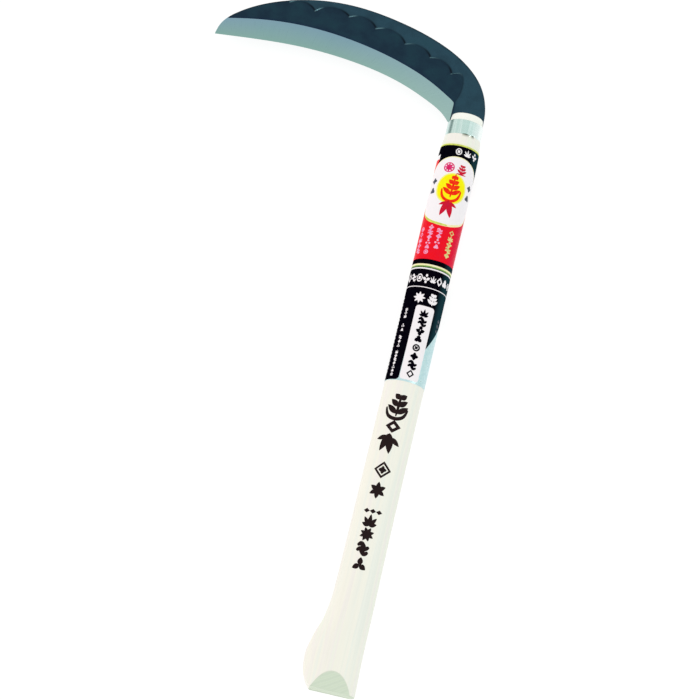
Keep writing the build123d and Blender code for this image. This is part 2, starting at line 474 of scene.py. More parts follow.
def forged_steel():
    """Blue black forge scale, lighter on the raised spine band, with faint hammer and scale marks, painted
    shade in the step's crease and on the spine's eased edge, and a painted highlight on the step past each
    cusp.
    """
    made, tree = start_material("forged_scale")
    patches = cloud(tree, 0.09, 4.0)
    grain = cloud(tree, 2.2, 5.0, 0.7)
    recess = ramp(
        tree, patches, (0.36, srgb(26, 47, 63)), (0.52, srgb(29, 53, 68)), (0.68, srgb(30, 58, 71))
    )
    band = ramp(
        tree, patches, (0.34, srgb(38, 65, 79)), (0.55, srgb(42, 72, 87)), (0.7, srgb(40, 73, 86))
    )
    toned = mixed(tree, attribute(tree, "raised"), recess, band)
    # painted shade: darkens the step's crease, most toward each arc's right end
    crease_shade = product(tree, attribute(tree, "shade"), 0.95)
    shaded = mixed(tree, crease_shade, toned, srgb(8, 18, 28))
    # painted highlight: a bright line on the step just past each cusp, its strength varied by noise
    highlight_strength = grey_ramp(tree, cloud(tree, 0.12, 2.0), (0.38, 0.25), (0.58, 0.85))
    highlighted = mixed(tree, product(tree, attribute(tree, "painted_highlight"), highlight_strength), shaded, srgb(96, 130, 138))
    by_bevel = product(tree, attribute(tree, "near_bevel"), 0.55)
    seam = mixed(tree, by_bevel, highlighted, srgb(20, 38, 66))
    speckled = times(tree, seam, shades(tree, grain, 0.82, 1.12))
    # painted shade: darkens the spine's eased edge
    colour = mixed(tree, attribute(tree, "edge_shade"), speckled, srgb(10, 18, 24))
    roughness = shades(tree, cloud(tree, 0.6, 4.0), 0.36, 0.52)
    hammer = bump(tree, cloud(tree, 0.22, 1.0), 0.12, 0.5)
    scale = bump(tree, grain, 0.012, 0.7, hammer)
    return surface(made, colour, roughness, scale, Metallic=0.72, Specular_IOR_Level=0.15)


def ground_steel():
    """The ground bevel: pale grey green steel with fine grinding lines across it, paler at the heel."""
    made, tree = start_material("ground_bevel")
    across, run = attribute(tree, "across"), attribute(tree, "run")
    soft = cloud(tree, 0.05, 3.0)
    near_line = mixed(tree, soft, srgb(124, 158, 172), srgb(132, 162, 180))
    near_edge = mixed(tree, soft, srgb(130, 172, 164), srgb(140, 172, 166))
    whetted = mixed(tree, across, near_edge, near_line)
    toward_heel = maths(tree, "MULTIPLY_ADD", run, 0.0066, -0.8, clamp=True)
    base = mixed(tree, toward_heel, whetted, srgb(158, 188, 183))
    along_line = product(tree, across, 0.35)
    flat = node(tree, "CombineXYZ", {"X": run, "Y": along_line}).outputs[0]
    inputs = {"Vector": flat, "Scale": 3.0, "Detail": 4.0, "Roughness": 0.7}
    lines = node(tree, "TexNoise", inputs).outputs[0]
    colour = times(tree, base, shades(tree, lines, 0.95, 1.04))
    roughness = shades(tree, lines, 0.26, 0.4)
    return surface(made, colour, roughness, bump(tree, lines, 0.006, 0.6), Metallic=1.0)


def ferrule_steel():
    """Drawn steel tube with faint streaks and rings, a painted highlight toward its right flank, and a
    painted dark reflection down the left of its front.
    """
    made, tree = start_material("drawn_ferrule")
    streaks = cloud(tree, 0.3, 2.0, stretch=(1.0, 0.04, 1.0))
    rings = cloud(tree, 1.6, 3.0, stretch=(0.02, 1.0, 0.02))
    tint = ramp(
        tree, streaks, (0.4, srgb(198, 222, 217)), (0.5, srgb(214, 233, 229)), (0.58, srgb(192, 219, 213))
    )
    drawn = times(tree, tint, grey_ramp(tree, rings, (0.35, 0.97), (0.65, 1.02)))
    # painted highlight: the metal grows lighter toward the right flank
    right = maths(tree, "MULTIPLY_ADD", axis(tree, "X"), 0.25, -1.1, clamp=True)
    sheened = mixed(tree, right, drawn, srgb(240, 247, 245))
    # painted reflection: a dark teal band down the left of the front
    left = maths(tree, "MULTIPLY_ADD", axis(tree, "X"), 0.05, 0.6)
    reflection_band = grey_ramp(tree, left, (0.0, 0.0), (0.055, 0.7), (0.09, 1.0), (0.16, 0.0))
    front = maths(tree, "GREATER_THAN", axis(tree, "Z"), 0.0)
    painted_reflection = product(tree, product(tree, reflection_band, front), 0.8)
    colour = mixed(tree, painted_reflection, sheened, srgb(62, 100, 94))
    roughness = shades(tree, rings, 0.2, 0.34)
    normal = bump(tree, rings, 0.01, 0.6, bump(tree, streaks, 0.02, 0.4))
    return surface(made, colour, roughness, normal, Metallic=1.0)


def pin_steel():
    """Dull drawn steel wire."""
    made, tree = start_material("drawn_pin")
    wear = cloud(tree, 1.4, 4.0)
    colour = ramp(tree, wear, (0.3, srgb(120, 124, 126)), (0.7, srgb(158, 160, 160)))
    roughness = shades(tree, wear, 0.35, 0.55)
    return surface(made, colour, roughness, bump(tree, wear, 0.02, 0.5), Metallic=1.0)


def side_grain(tree, streaks):
    """Planed wood, whiter at the head, with a trace of glue just above the upper label."""
    broad = cloud(tree, 0.16, 2.0, stretch=(1.0, 0.02, 1.0))
    tone = ramp(
        tree, broad,
        (0.36, srgb(243, 243, 234)), (0.47, srgb(249, 245, 233)),
        (0.55, srgb(247, 241, 235)), (0.66, srgb(245, 245, 232)),
    )
    lines = grey_ramp(tree, streaks, (0.34, 0.97), (0.5, 1.0), (0.66, 0.985))
    planed = times(tree, tone, lines)
    height, label_top = axis(tree, "Y"), label_spans["label_upper"][1]
    head = maths(tree, "GREATER_THAN", height, (ferrule_foot + ferrule_top) / 2)
    whiter_head = mixed(tree, product(tree, head, 0.8), planed, srgb(255, 255, 247))
    risen = product(tree, maths(tree, "SUBTRACT", height, label_top - 1), 0.35)
    fading = maths(tree, "SUBTRACT", 1.0, risen, clamp=True)
    above = maths(tree, "GREATER_THAN", height, label_top - 2)
    glue = product(tree, product(tree, fading, above), 0.55)
    return mixed(tree, glue, whiter_head, srgb(240, 240, 176))


def bare_wood():
    """Pale close grained wood, planed along the grain, darker and greener where it is cut across."""
    made, tree = start_material("pale_wood")
    streaks = cloud(tree, 0.9, 5.0, 0.6, (1.0, 0.012, 1.0))
    fibres = cloud(tree, 5.0, 4.0, 0.7, (1.0, 0.03, 1.0))
    rings = node(tree, "TexWave", {
        "Vector": place(tree, (-0.75, 1.0, 0.6)), "Scale": 0.12, "Distortion": 3.0, "Detail": 2.0,
        "Detail Scale": 0.5,
    }, wave_type="BANDS", bands_direction="DIAGONAL").outputs["Fac"]
    cut_tone = ramp(
        tree, rings, (0.2, srgb(213, 224, 204)), (0.55, srgb(220, 229, 211)), (0.85, srgb(216, 227, 206))
    )
    pores = cloud(tree, 3.5, 4.0, 0.75)
    cut_face = times(tree, cut_tone, shades(tree, pores, 0.93, 1.02))
    cut = attribute(tree, "cut")
    wood = mixed(tree, cut, side_grain(tree, streaks), cut_face)
    # darker along the pared faces' edges, and painted shade on the butt's end face rim
    butt_darkened = mixed(tree, attribute(tree, "butt_edge_darkening"), wood, srgb(196, 206, 186))
    # painted shade in the ferrule's notches, and a dark spot at the butt
    colour = mixed(tree, attribute(tree, "notch_shade_and_spot"), butt_darkened, srgb(112, 122, 104))
    roughness = mixed(tree, cut, (0.52, 0.52, 0.52), (0.72, 0.72, 0.72))
    grain = bump(tree, fibres, 0.02, 0.5, bump(tree, streaks, 0.05, 0.3))
    normal = bump(tree, product(tree, pores, cut), 0.05, 0.6, grain)
    return surface(made, colour, roughness, normal, Specular_IOR_Level=0.3)


def burnt_wood():
    """Wood scorched by a hot stamp: brown black, thinner where the grain took less heat."""
    made, tree = start_material("burnt_mark")
    grain = cloud(tree, 1.6, 5.0, 0.65, (1.0, 0.12, 1.0))
    colour = ramp(tree, grain, (0.3, srgb(18, 3, 6)), (0.6, srgb(30, 9, 10)), (0.78, srgb(66, 36, 32)))
    roughness = shades(tree, grain, 0.75, 0.9)
    return surface(made, colour, roughness, bump(tree, grain, 0.04, 0.6), Specular_IOR_Level=0.2)


def print_ink(name, colour, second, spread, metal=0.0, gloss=0.1, right_sheen=None):
    """Print on plastic film: two colours in soft patches, a fine mottle, and faint creases.

    The last argument is a painted sheen: a tint on the right flank of the grip.
    """
    made, tree = start_material(name)
    mottle = cloud(tree, 0.5, 3.0)
    base = mixed(tree, grey_ramp(tree, mottle, (0.38, 0.0), (0.62, 1.0)), srgb(*colour), srgb(*second))
    if right_sheen:
        # painted sheen toward the right flank
        side = maths(tree, "MULTIPLY_ADD", axis(tree, "X"), 0.28, -2.2, clamp=True)
        base = mixed(tree, side, base, srgb(*right_sheen))
    fine = shades(tree, cloud(tree, 4.0, 3.0, 0.7), 1 - spread, 1 + spread / 2)
    creases = cloud(tree, 0.18, 2.0, stretch=(1.0, 0.35, 1.0))
    roughness = shades(tree, mottle, 0.26, 0.4)
    return surface(
        made, times(tree, base, fine), roughness, bump(tree, creases, 0.09, 0.5),
        Metallic=metal, Specular_IOR_Level=gloss,
    )


# Two screen colours and the depth of the fine mottle, then how metallic, how glossy, and a painted sheen on
# the right flank where they aren't the usual.
ink_table = {
    "film": ((252, 247, 249), (248, 248, 250), 0.01),
    "foil": ((206, 230, 232), (190, 220, 224), 0.05, 0.55),
    "black": ((6, 2, 12), (8, 8, 16), 0.2, 0.0, 0.0, (24, 54, 62)),
    "white": ((252, 244, 247), (249, 243, 247), 0.01),
    "red": ((246, 2, 26), (240, 2, 38), 0.03, 0.0, 0.1, (228, 0, 56)),
    "magenta": ((222, 24, 92), (232, 60, 140), 0.12),
    "crimson": ((206, 12, 56), (214, 10, 40), 0.1),
    "orange": ((255, 60, 2), (246, 30, 2), 0.08),
    "yellow": ((255, 248, 4), (255, 240, 0), 0.02),
    "pale_yellow": ((252, 250, 150), (250, 246, 120), 0.04),
    "cream": ((252, 246, 208), (250, 240, 178), 0.05),
    "gold": ((226, 236, 110), (200, 206, 96), 0.12, 0.15),
    "green": ((150, 176, 92), (120, 168, 84), 0.15, 0.15),
    "pink": ((250, 186, 214), (246, 140, 190), 0.1),
    "straw": ((236, 226, 150), (214, 196, 120), 0.1),
    "grey": ((70, 74, 88), (96, 100, 112), 0.15),
}
inks = {ink: print_ink(f"print_{ink}", *looks) for ink, looks in ink_table.items()}
forged, ground, burnt = forged_steel(), ground_steel(), burnt_wood()


# ------------------------------------------------------------------ blade
def bevel_line():
    """The bevel's upper line, then its rounded plunge down the neck."""
    line = bevel_curve[bevel_curve[:, 0] < plunge_x - plunge_corner]
    turn = np.radians(np.arange(70, -1, -10))
    high = np.interp(plunge_x - plunge_corner / 2, *bevel_curve.T) - plunge_corner
    corner = plunge_corner * np.stack([np.cos(turn), np.sin(turn)], 1) + (plunge_x - plunge_corner, high)
    return np.concatenate([line, corner, [(plunge_x, -60.0)]])


def wave_line():
    """The edge of the hammered area: arcs between cusps, then round to the plunge."""
    parts = [np.array([(wave_cusps[0][0], 120.0)])]
    radius = (0.25 + wave_height**2) / (2 * wave_height)
    sweep = math.asin(0.5 / radius)
    turn = np.linspace(-sweep, sweep, 25)[:-1, None]
    for start, end in zip(np.array(wave_cusps[:-1]), np.array(wave_cusps[1:])):
        chord = end - start
        rise = np.array([-chord[1], chord[0]])
        across, up = 0.5 + radius * np.sin(turn), wave_height - radius + radius * np.cos(turn)
        parts.append(start + chord * across + rise * up)
    tail = spline([wave_cusps[-1], *wave_end])
    return np.concatenate([*parts, tail, [(plunge_x, -60.0)]])


edge_curve = spline(bevel_stations[:, [0, 1]])
bevel_curve = spline(bevel_stations[:, [0, 2]])
bevel_outline, wave_outline = bevel_line(), wave_line()

# Faces across a row: bevel, its upper lip, hammered area, foot of the step, step, its brow, spine
# band, eased edge.
zone_faces = (10, 1, 14, 3, 8, 3, 7, 6)
eased_zone = len(zone_faces) - 1
blade_marks = ("across", "raised", "near_bevel", "edge_shade", "run", "shade", "painted_highlight", "on_bevel")


def rows_between(edge, spine):
    """Fractions of both curves, closely spaced, that pass through every cusp. Also the cusps' own."""
    dense = np.linspace(0, 1, 4001)
    starts, ends = along(edge, dense), along(spine, dense)
    cusps = []
    for x, y in wave_cusps:
        reach = ends - starts
        off = reach[:, 0] * (y - starts[:, 1]) - reach[:, 1] * (x - starts[:, 0])
        cusps.append(dense[np.nonzero(off[:-1] * off[1:] < 0)[0][0]])
    stops = [0.0, 0.012, 0.04, *cusps, 0.93, 1.0]
    rows = [0.0]
    for a, b in zip(stops[:-1], stops[1:]):
        count = max(2, math.ceil((b - a) * lengths(spine)[-1] / row_pitch))
        rows += list(np.linspace(a, b, count + 1)[1:])
    return rows, np.array(cusps)


def blade_row(f, a, b, cusps, spine_length):
    """One row of the blade's net, from the cutting edge at a to the spine at b.

    f is its fraction of both curves. Gives its points, their blade_marks, and whether it is all bevel.
    """
    width = np.linalg.norm(b - a) or 1e-9
    ease = spine_ease * min(1, (1 - f) / 0.02 + 0.001)
    last = width - min(ease, 0.1 * width)
    lip = min(crossing(a, b, bevel_outline) * width, last)
    wave_at = crossing(a, b, wave_outline) * width
    whole_bevel = lip >= last - 1e-6
    no_band = wave_at >= last
    low = last if no_band else max(min(wave_at - step_width / 2, last), lip + 0.02)
    high = last if no_band else min(low + step_width, last)
    foot = last if no_band else max(low - step_reach, lip)
    brow = min(high + step_reach, last)
    bounds = [0, max(lip - bevel_lip, 0.9 * lip), lip, foot, low, high, brow, last]
    at, zones = [0.0], [0]
    for zone, (p, q) in enumerate(zip(bounds[:-1], bounds[1:])):
        at += list(np.linspace(p, q, zone_faces[zone] + 1)[1:])
        zones += [zone] * zone_faces[zone]
    turn = np.linspace(0, math.pi / 2, zone_faces[eased_zone] + 1)[1:]
    at = np.array(at + list(last + (width - last) * np.sin(turn)))
    zones = np.array(zones + [eased_zone] * zone_faces[eased_zone])
    xy = a + (b - a) * (at / width)[:, None]

    low_y, high_y = np.interp(xy[:, 0], *edge_curve.T), np.interp(xy[:, 0], *bevel_curve.T)
    share = (xy[:, 1] - low_y) / (high_y - low_y)
    ground_z = half_edge + (half_forged - half_edge) * np.clip(share, 0, 1)
    rise = np.zeros(len(at)) if no_band else smoothstep((at - low) / max(high - low, 1e-6))
    hammer = np.array([noise.noise((x * hammer_scale, y * hammer_scale, 3.0)) for x, y in xy])
    forged_z = half_forged + (half_spine - half_forged) * rise - hammer_marks * np.clip(hammer + 0.35, 0, 1)
    z = np.where((zones == 0) | whole_bevel, ground_z, forged_z)
    z[at >= lip] = np.minimum(z[at >= lip], half_spine)
    crown = z[zones < eased_zone][-1]
    z[zones == eased_zone] = crown - min(ease, 0.6 * crown) * (1 - np.cos(turn))
    if f == 1.0:
        z[xy[:, 0] > -neck_half - 0.3] = half_spine
        xy[np.argmin(np.abs(xy[:, 0] + neck_half)), 0] = -neck_half

    arc = np.searchsorted(cusps, f, side="right")
    begun = cusps[arc - 1] if arc else -1.0
    ended = cusps[arc] if 0 < arc < len(cusps) else 9.0
    from_start, to_end = (f - begun) * spine_length, (ended - f) * spine_length
    off = np.full(len(at), 9.0) if no_band else at - low - step_width / 2
    # painted shade on the spine's eased edge, faint on the neck
    edge_shade = 0.2 if f > neck_rows else 0.9
    marks = np.column_stack([
        share if whole_bevel else np.clip(share, 0, 1),
        rise,
        np.where(zones == 0, 0, (1 - np.clip((at - lip) / seam_fade, 0, 1)) ** 2),
        smoothstep((at - (width - edge_shade_width)) / edge_shade_width) * (not whole_bevel) * edge_shade,
        np.full(len(at), f * spine_length),
        # painted shade along the step, stronger toward each arc's right end
        np.exp(-((off / shade_width) ** 2)) * (0.25 + 0.75 * smoothstep((13.0 - to_end) / 11.0)),
        # painted highlight along the step just past each cusp
        np.exp(-(((off + 0.2) / highlight_width) ** 2)) * smoothstep((6.0 - from_start) / 4.0),
        ((zones == 0) | whole_bevel) * 1.0,
    ])
    return np.column_stack([xy, z]), marks, whole_bevel


def tang_net(last_row):
    """The flat tang with its pin holes. It hangs from the last row and shares its points."""
    shared = [tuple(p) for p in last_row[:, :2] if p[0] >= -neck_half - 1e-6]
    end_y, shoulder_y = tang_end - root_line, tang_shoulder - root_line
    outline = [
        *shared[::-1], (-neck_half, shoulder_y), (-tang_half, shoulder_y - 1.0), (-tang_end_half, end_y),
        (tang_end_half, end_y), (tang_half, shoulder_y - 1.0), (neck_half, shoulder_y),
    ]
    turn = np.linspace(0, -2 * math.pi, 33)[:-1]
    hole = pin_radius * np.stack([np.cos(turn), np.sin(turn)], 1)
    return fill([np.array(outline), *(hole + (0, y - root_line) for y in pin_rows)], None)


def weld(net, faces, kinds):
    """Joins points that coincide, and drops the faces that this leaves without area."""
    first = {}
    joined = [first.setdefault(tuple(point), k) for k, point in enumerate(np.round(net, 4))]
    kept, kept_kinds = [], []
    for face, kind in zip(faces, kinds):
        loop = [joined[k] for k in face]
        loop = [k for n, k in enumerate(loop) if k != loop[n - 1]]
        if len(set(loop)) == len(loop) >= 3:
            kept.append(loop)
            kept_kinds.append(kind)
    return *compact(kept), kept_kinds


def make_blade():
    """Rows from the cutting edge to the spine carry bevel, hammer steps and eased edge. Both sides match."""
    edge = spline([(x, y) for x, y, _ in bevel_stations if blade_tip[0] <= x <= blade_heel[0]])
    spine = spline(spine_points, (0.15, 1.0), (0.0, -1.0))
    spine = np.concatenate([spine, [(neck_swell, -2.0), (neck_half, blade_heel[1])]])
    spine[:, 1] = np.minimum(spine[:, 1], blade_high.y - root_line)
    rows, cusps = rows_between(edge, spine)
    places = zip(rows, along(edge, rows), along(spine, rows))
    verts, marks, bare = zip(*(blade_row(f, a, b, cusps, lengths(spine)[-1]) for f, a, b in places))
    across = len(verts[0])
    faces, kinds = [], []
    for i in range(len(rows) - 1):
        for j in range(across - 1):
            k = i * across + j
            faces.append((k, k + across, k + across + 1, k + 1))
            kinds.append(1 if j < zone_faces[0] or bare[i] else 0)

    flat, flat_faces = tang_net(verts[-1])
    row_points = across * len(rows)
    faces += [tuple(k + row_points for k in f) for f in flat_faces]
    kinds += [0] * len(flat_faces)
    net = np.concatenate([*verts, np.column_stack([flat, np.full(len(flat), half_spine)])])
    tang_marks = np.tile([0.0, 1.0, 0.0, 0.0, marks[-1][-1, 4], 0.0, 0.0, 0.0], (len(flat), 1))
    values = np.concatenate([*marks, tang_marks])
    used, faces, kinds = weld(net, faces, kinds)
    net = net[used] + (0, root_line, 0)
    values = np.concatenate([values[used], values[used]])
    both, solid = shell(net, faces, lambda p: p, lambda p: p * (1, 1, -1))
    walls = [int(values[list(f), -1].min() > 0.5) for f in solid[2 * len(faces):]]
    piece = build(
        "sickle_blade", both, solid, [forged, ground], [*kinds, *kinds, *walls],
        dict(zip(blade_marks, values.T)), 40,
    )
    return finish_piece(piece, "forged_steel", "blade")


# ------------------------------------------------------------------ handle
def grip(y):
    """Centre X, half width and half thickness of the grip at y."""
    left, right, half = (between(grip_sections[:, 0], grip_sections[:, k], y) for k in (1, 2, 3))
    return (left + right) / 2, (right - left) / 2, half


def on_grip(points, lift):
    """Points of the grip's surface, raised by lift, from the way round it and Y."""
    s, y = points[:, 0], points[:, 1]
    centre, half_width, half_thick = grip(y)
    turn = s / wrap_radius
    return np.column_stack([
        centre + (half_width + lift) * np.sin(turn), y, (half_thick + lift) * np.cos(turn)
    ])


def grip_rings(turn):
    """Rings of the grip, from the flat end up: Y, X, Z and how far each point is cut across the grain."""
    turn_x, turn_y, turn_radius = butt_turn
    bevel_length, bevel_depth = butt_bevel
    rows = np.concatenate([
        np.arange(0, 21, 0.5), np.arange(21, 66, 1.5), np.arange(66, 388, 5.0),
        np.arange(388, ferrule_foot, 2.0), [ferrule_foot],
    ])
    rings = []
    for y in rows:
        centre, half_width, half_thick = grip(np.array([y]))
        x = centre + half_width * np.sin(turn)
        z = half_thick * np.cos(turn)
        cut = np.zeros(len(turn))
        if y < bevel_length + 1:
            top = grip_sections[0, 3] - bevel_depth * (1 - y / bevel_length) - butt_tilt * (x - centre)
            cut = smoothstep((np.abs(z) - top) / 0.3 + 0.5)
            z = np.sign(z) * soft_min(np.abs(z), top, soft_edge)
        if y < turn_y:
            wall = turn_x - math.sqrt(turn_radius**2 - (y - turn_y) ** 2)
            x = -soft_min(-x, -wall, soft_edge)
        rings.append((max(y, butt_edge_break), x, z, cut))

    _, x, z, _ = rings[0]
    sunk = 1 - butt_edge_break / np.hypot(x - x.mean(), z)
    flat = [(0.0, x.mean() + (x - x.mean()) * k, z * k, np.ones(len(turn))) for k in (0.02, 0.35, 0.7, sunk)]
    return [*flat, *rings]


def head_rings(turn):
    """Rings of the seat under the ferrule and of the tapered head, which has a rounded top."""
    taper_end = handle_length - head_round
    rows = [(ferrule_foot + k, *seat) for k in (0, *np.arange(0.15, 1.4, 0.15))]
    rows += [(ferrule_top, *seat), (taper_end, *head_top)]
    for k in np.radians((22.5, 45, 67.5, 90)):
        inset = head_round * (1 - math.cos(k))
        rows.append((taper_end + head_round * math.sin(k), head_top[0] - inset, head_top[1] - inset))
    for k in (0.7, 0.35, 0.02):
        rows.append((handle_length, (head_top[0] - head_round) * k, (head_top[1] - head_round) * k))
    return [(y, a * np.sin(turn), b * np.cos(turn), np.full(len(turn), float(y > taper_end + 0.3)))
            for y, a, b in rows]


def shade_notches_and_spot(verts):
    """Painted shade on the wood in the ferrule's two notches, and a dark spot at the butt."""
    x, y, z = verts.T
    notch_shade_and_spot = np.zeros(len(verts))
    for mark, half in stake_marks:
        near = 1 - ((x - mark) / half) ** 2
        reach = stake_depth * np.sqrt(np.clip(near, 0, None)) + 0.15
        mask = (near > 0.1) & (y >= ferrule_foot) & (y < ferrule_foot + reach) & (z > 0)
        # painted shade in the notch
        notch_shade_and_spot[mask] = 0.35 + 0.55 * near[mask]
    notch_shade_and_spot[(np.hypot(x + 9.0, z + 7.2) < 0.9) & (y < 1)] = 0.8
    return notch_shade_and_spot


def cut_wood(piece):
    """Cuts the kerf and the pin holes out of the finished form."""
    slot = [(x, y, z) for x in (-clear, clear) for y in (tang_end, handle_length + clear)
            for z in (-half_spine, half_spine)]
    slot_faces = [(0, 1, 3, 2), (4, 6, 7, 5), (0, 4, 5, 1), (2, 3, 7, 6), (0, 2, 6, 4), (1, 5, 7, 3)]
    cutters = [build("kerf_cutter", slot, slot_faces, [])]
    turn = np.radians(np.arange(0, 360, 11.25))
    n = len(turn)
    sides = [(k, (k + 1) % n, (k + 1) % n + n, k + n) for k in range(n)]
    ends = [tuple(range(n - 1, -1, -1)), tuple(range(n, 2 * n))]
    for y in pin_rows:
        low = np.column_stack([pin_radius * np.cos(turn), y + pin_radius * np.sin(turn), np.full(n, -clear)])
        cutters.append(build("pin_cutter", np.concatenate([low, low * (1, 1, -1)]), [*sides, *ends], []))
    for cutter in cutters:
        cutting = piece.modifiers.new("cut", "BOOLEAN")
        cutting.operation = "DIFFERENCE"
        cutting.solver = "EXACT"
        cutting.object = cutter
    bpy.context.view_layer.update()
    result = bpy.data.meshes.new_from_object(piece.evaluated_get(bpy.context.evaluated_depsgraph_get()))
    piece.modifiers.clear()
    piece.data = result
    piece.data.name = piece.name
    piece.data.set_sharp_from_angle(angle=math.radians(50))
    for cutter in cutters:
        bpy.data.objects.remove(cutter)


def make_handle():
    """The oval grip with its turned and pared butt, and the stepped head with its saw kerf."""
    turn = np.radians(np.arange(0, 360, 1.0))
    n = len(turn)
    rings = [*grip_rings(turn), *head_rings(turn)]
    verts = np.concatenate([np.column_stack([x, np.full(n, y), z]) for y, x, z, _ in rings])
    cut = np.concatenate([c for *_, c in rings])
    # darker along the pared faces' edges, and painted shade on the end face's lower rim
    edge = np.clip(4 * cut * (1 - cut), 0, 1) * 0.5
    edge[(verts[:, 1] <= butt_edge_break) & (verts[:, 2] < -4)] = 0.9
    faces = []
    for a in range(0, (len(rings) - 1) * n, n):
        faces += [(a + k, a + (k + 1) % n, a + n + (k + 1) % n, a + n + k) for k in range(n)]
    faces += [tuple(range(n - 1, -1, -1)), tuple(range(len(verts) - n, len(verts)))]
    marks = {"cut": cut, "butt_edge_darkening": edge, "notch_shade_and_spot": shade_notches_and_spot(verts)}
    piece = build("wooden_handle", verts, faces, [bare_wood()], None, marks, 50)
    cut_wood(piece)
    return finish_piece(piece, "handle_wood", "handle")


# ------------------------------------------------------------------ ferrule
def notch_at(x):
    """Height of the notches that are punched into the front of the ferrule's foot."""
    near = [1 - ((x - mark) / half) ** 2 for mark, half in stake_marks]
    return stake_depth * math.sqrt(max(*near, 0))


def make_ferrule():
    """An oval ring with rolled lips, two punched notches at its foot, and a brazed seam at the back."""
    half_seam = math.degrees(seam_half / seat[0])
    turns = [k for k in np.arange(0, 360, 1.5) if abs(k - 180) > 2]
    turns += [180 + k for k in (-half_seam - 0.3, -half_seam, 0, half_seam, half_seam + 0.3)]
    turns = np.radians(sorted(turns))
    height = ferrule_top - ferrule_foot
    low_lip = [(ferrule_wall - ferrule_lip * (1 - math.sin(k)), ferrule_lip * (1 - math.cos(k)))
               for k in np.linspace(0, math.pi / 2, 6)]
    high_lip = [(out, height - y) for out, y in reversed(low_lip)]
    wall = [(ferrule_wall, y) for y in np.linspace(ferrule_lip, height - ferrule_lip, 14)[1:-1]]
    profile = [(0.0, 0.0), *low_lip, *wall, *high_lip, (0.0, height)]
    verts = []
    for turn in turns:
        in_seam = abs(math.degrees(turn) - 180) <= half_seam + 1e-6
        for out, y in profile:
            out = min(out, ferrule_wall - seam_depth * in_seam)
            x, z = (seat[0] + out) * math.sin(turn), (seat[1] + out) * math.cos(turn)
            notch = notch_at(x) if z > 0 else 0
            verts.append((x, ferrule_foot + notch + y * (1 - notch / height), z))
    n, m = len(profile), len(turns)
    faces = []
    for i in range(m):
        a, b = i * n, (i + 1) % m * n
        faces += [(a + k, b + k, b + (k + 1) % n, a + (k + 1) % n) for k in range(n)]
    piece = build("steel_ferrule", verts, faces, [ferrule_steel()], None, None, 40)
    return finish_piece(piece, "ferrule_steel", "ferrule")


# ------------------------------------------------------------------ ornaments, as closed loops
def turned(points, x, y, angle):
    """Points turned by angle in degrees, then moved to x, y."""
    c, s = math.cos(math.radians(angle)), math.sin(math.radians(angle))
    return np.array(points) @ np.array([(c, s), (-s, c)]) + (x, y)


def leaf(x, y, length, width, angle):
    """A pointed oval that grows from x, y."""
    t = np.linspace(0, 1, 10)
    half = width / 2 * np.sin(np.pi * t**0.85) ** 0.85
    lower = np.column_stack([t * length, -half])
    upper = np.column_stack([t[::-1] * length, half[::-1]])[1:-1]
    return turned(np.concatenate([lower, upper]), x, y, angle)


def oval(x, y, half_width, half_height, around=28):
    turn = np.linspace(0, 2 * math.pi, around + 1)[:-1]
    return np.column_stack([x + half_width * np.cos(turn), y + half_height * np.sin(turn)])


def ring(x, y, radius, width):
    return [oval(x, y, radius, radius), oval(x, y, radius - width, radius - width)[::-1]]


def panel(x0, x1, y0, y1, radius=0.0):
    """A rectangle, with round corners if radius is given."""
    if not radius:
        return np.array([(x0, y0), (x1, y0), (x1, y1), (x0, y1)])
    left, right, low, high = x0 + radius, x1 - radius, y0 + radius, y1 - radius
    centres = np.repeat([(right, high), (left, high), (left, low), (right, low)], 7, axis=0)
    turn = np.radians([quarter + k for quarter in (0, 90, 180, 270) for k in range(0, 91, 15)])
    return centres + radius * np.column_stack([np.cos(turn), np.sin(turn)])


def stroke(points, width, tip=0.35):
    """A brush line through the points, thinner at its ends."""
    line = spline(points, steps=8)
    way = np.gradient(line, axis=0)
    way /= np.linalg.norm(way, axis=1)[:, None]
    swell = np.sin(np.pi * np.linspace(0, 1, len(line))) ** 0.5
    out = np.column_stack([-way[:, 1], way[:, 0]]) * (width / 2 * (tip + (1 - tip) * swell))[:, None]
    return np.concatenate([line - out, (line + out)[::-1]])


def flower(x, y, size, petals=4, first=45, width=0.42):
    return [leaf(x, y, size / 2, size * width, first + 360 / petals * k) for k in range(petals)]


def sprig(x, y, height, reach, pairs=3, width=1.4, lean=0.0):
    """A stem with pairs of leaves, from x, y upward."""
    loops = [stroke([(x, y), (x + lean / 2, y + height / 2), (x + lean, y + height)], width * 0.7)]
    for k in range(pairs):
        at = y + height * (0.12 + 0.68 * k / (pairs - 1))
        shift = x + lean * (at - y) / height
        loops += [leaf(shift, at, reach * (1 - 0.22 * k), width * 1.5, angle) for angle in (38, 142)]
    return loops


def lozenge(x, y, half_width, half_height):
    return np.array([(x + half_width, y), (x, y + half_height), (x - half_width, y), (x, y - half_height)])


def frame_of(x, y, outer, inner):
    """A lozenge with a hole, from the half width and height of each."""
    return [lozenge(x, y, *outer), lozenge(x, y, *inner)[::-1]]


def wave(x, y, half, width):
    bend = [(-half, 0), (-half * 0.4, half * 0.4), (half * 0.4, -half * 0.4), (half, 0)]
    return stroke([(x + dx, y + dy) for dx, dy in bend], width)


